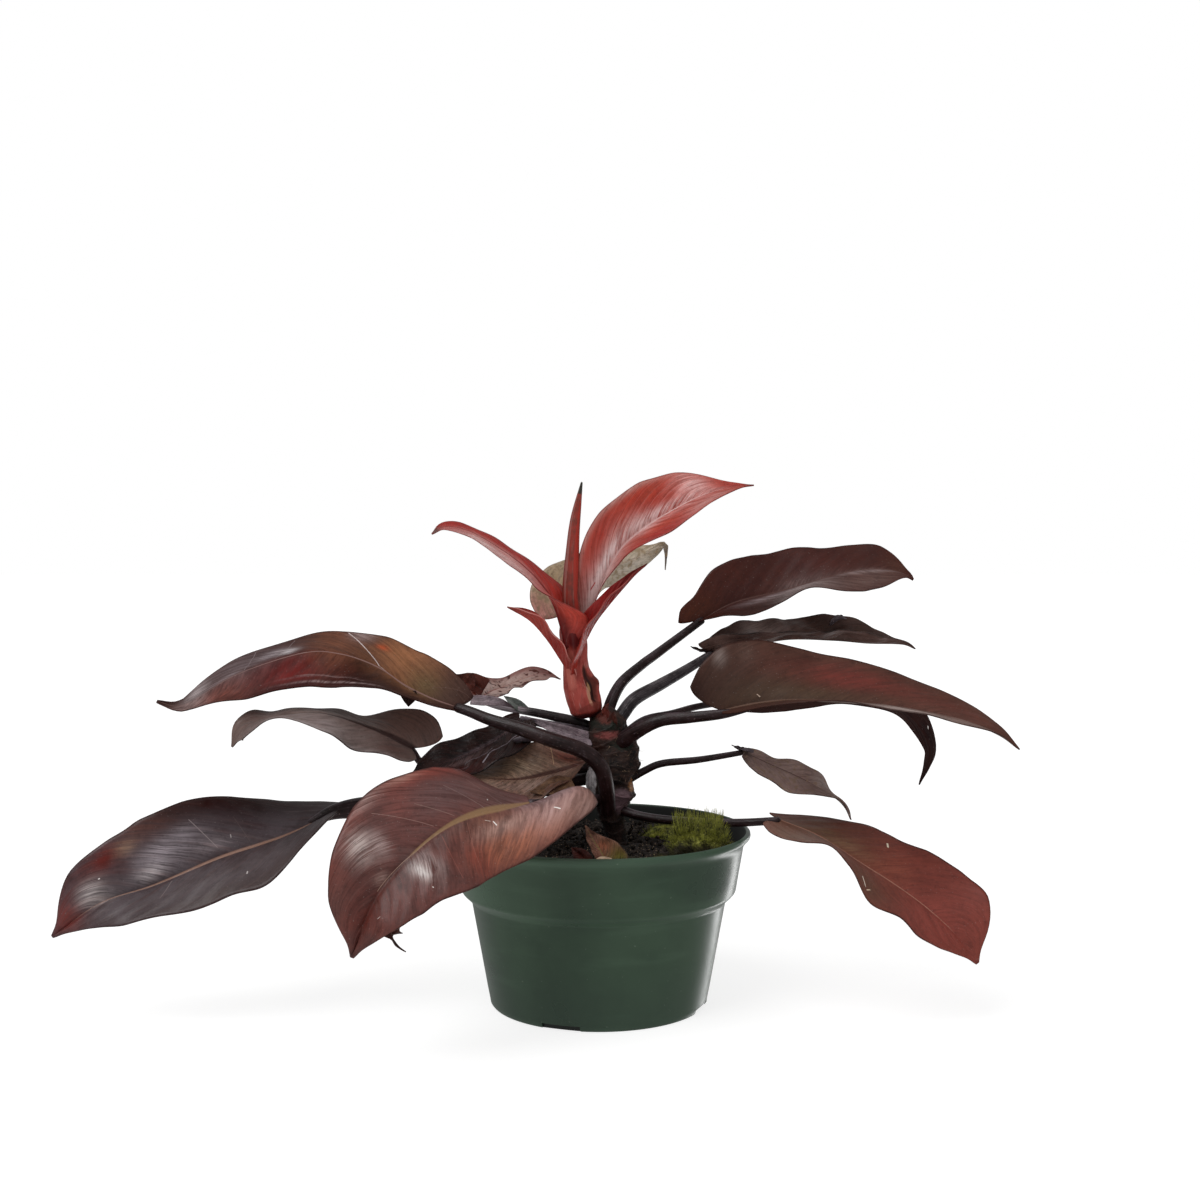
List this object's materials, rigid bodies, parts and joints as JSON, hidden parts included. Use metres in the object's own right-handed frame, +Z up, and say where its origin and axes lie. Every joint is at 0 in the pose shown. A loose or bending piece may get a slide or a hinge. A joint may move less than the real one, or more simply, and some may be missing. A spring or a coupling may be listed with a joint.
{
  "type": "potted philodendron",
  "caption": "Potted philodendron with arching dark red leaves on curved petioles round a short stem, in a round green nursery pot with dark mix and moss.",
  "frame": {"origin": "centre of the pot's underside, on the surface it stands on", "axes": "+Z up; -Y towards the plant's front as pictured; +X to the viewer's right from there"},
  "size_m": [0.5049, 0.2344, 0.2874],
  "materials": {
    "pot": "satin",
    "mix": "rough",
    "bark": "rough",
    "blade": "glossy",
    "young_red": "satin",
    "petiole": "satin",
    "bract": "matte",
    "moss": "rough",
    "pebble": "matte"
  },
  "bodies": {
    "root": {"pot": "pot", "stem": "bark", "potting_mix": "mix", "young_shoot": "young_red", "new_spear": "young_red", "far_left_leaf": "blade", "front_leaf": "blade", "upper_left_leaf": "blade", "spotted_leaf": "blade", "mid_left_leaf": "blade", "dark_left_leaf": "blade", "brown_left_leaf": "blade", "hidden_front_leaf": "blade", "upper_right_leaf": "blade", "crumpled_right_leaf": "blade", "long_right_leaf": "blade", "drooping_right_leaf": "blade", "small_right_leaf": "blade", "low_right_leaf": "blade", "young_back_leaf": "blade", "new_red_leaf": "young_red", "left_red_leaf": "young_red", "far_left_petiole": "petiole", "front_petiole": "petiole", "upper_left_petiole": "petiole", "spotted_petiole": "petiole", "mid_left_petiole": "petiole", "dark_left_petiole": "petiole", "brown_left_petiole": "petiole", "hidden_front_petiole": "petiole", "upper_right_petiole": "petiole", "crumpled_right_petiole": "petiole", "long_right_petiole": "petiole", "drooping_right_petiole": "petiole", "small_right_petiole": "petiole", "low_right_petiole": "petiole", "young_back_petiole": "petiole", "right_sheath": "young_red", "small_left_sheath": "young_red", "dry_bract": "bract", "moss_clump": "moss", "moss_low_tuft": "moss", "moss_front_tuft": "moss", "pebble": "pebble"}
  },
  "joints": []
}
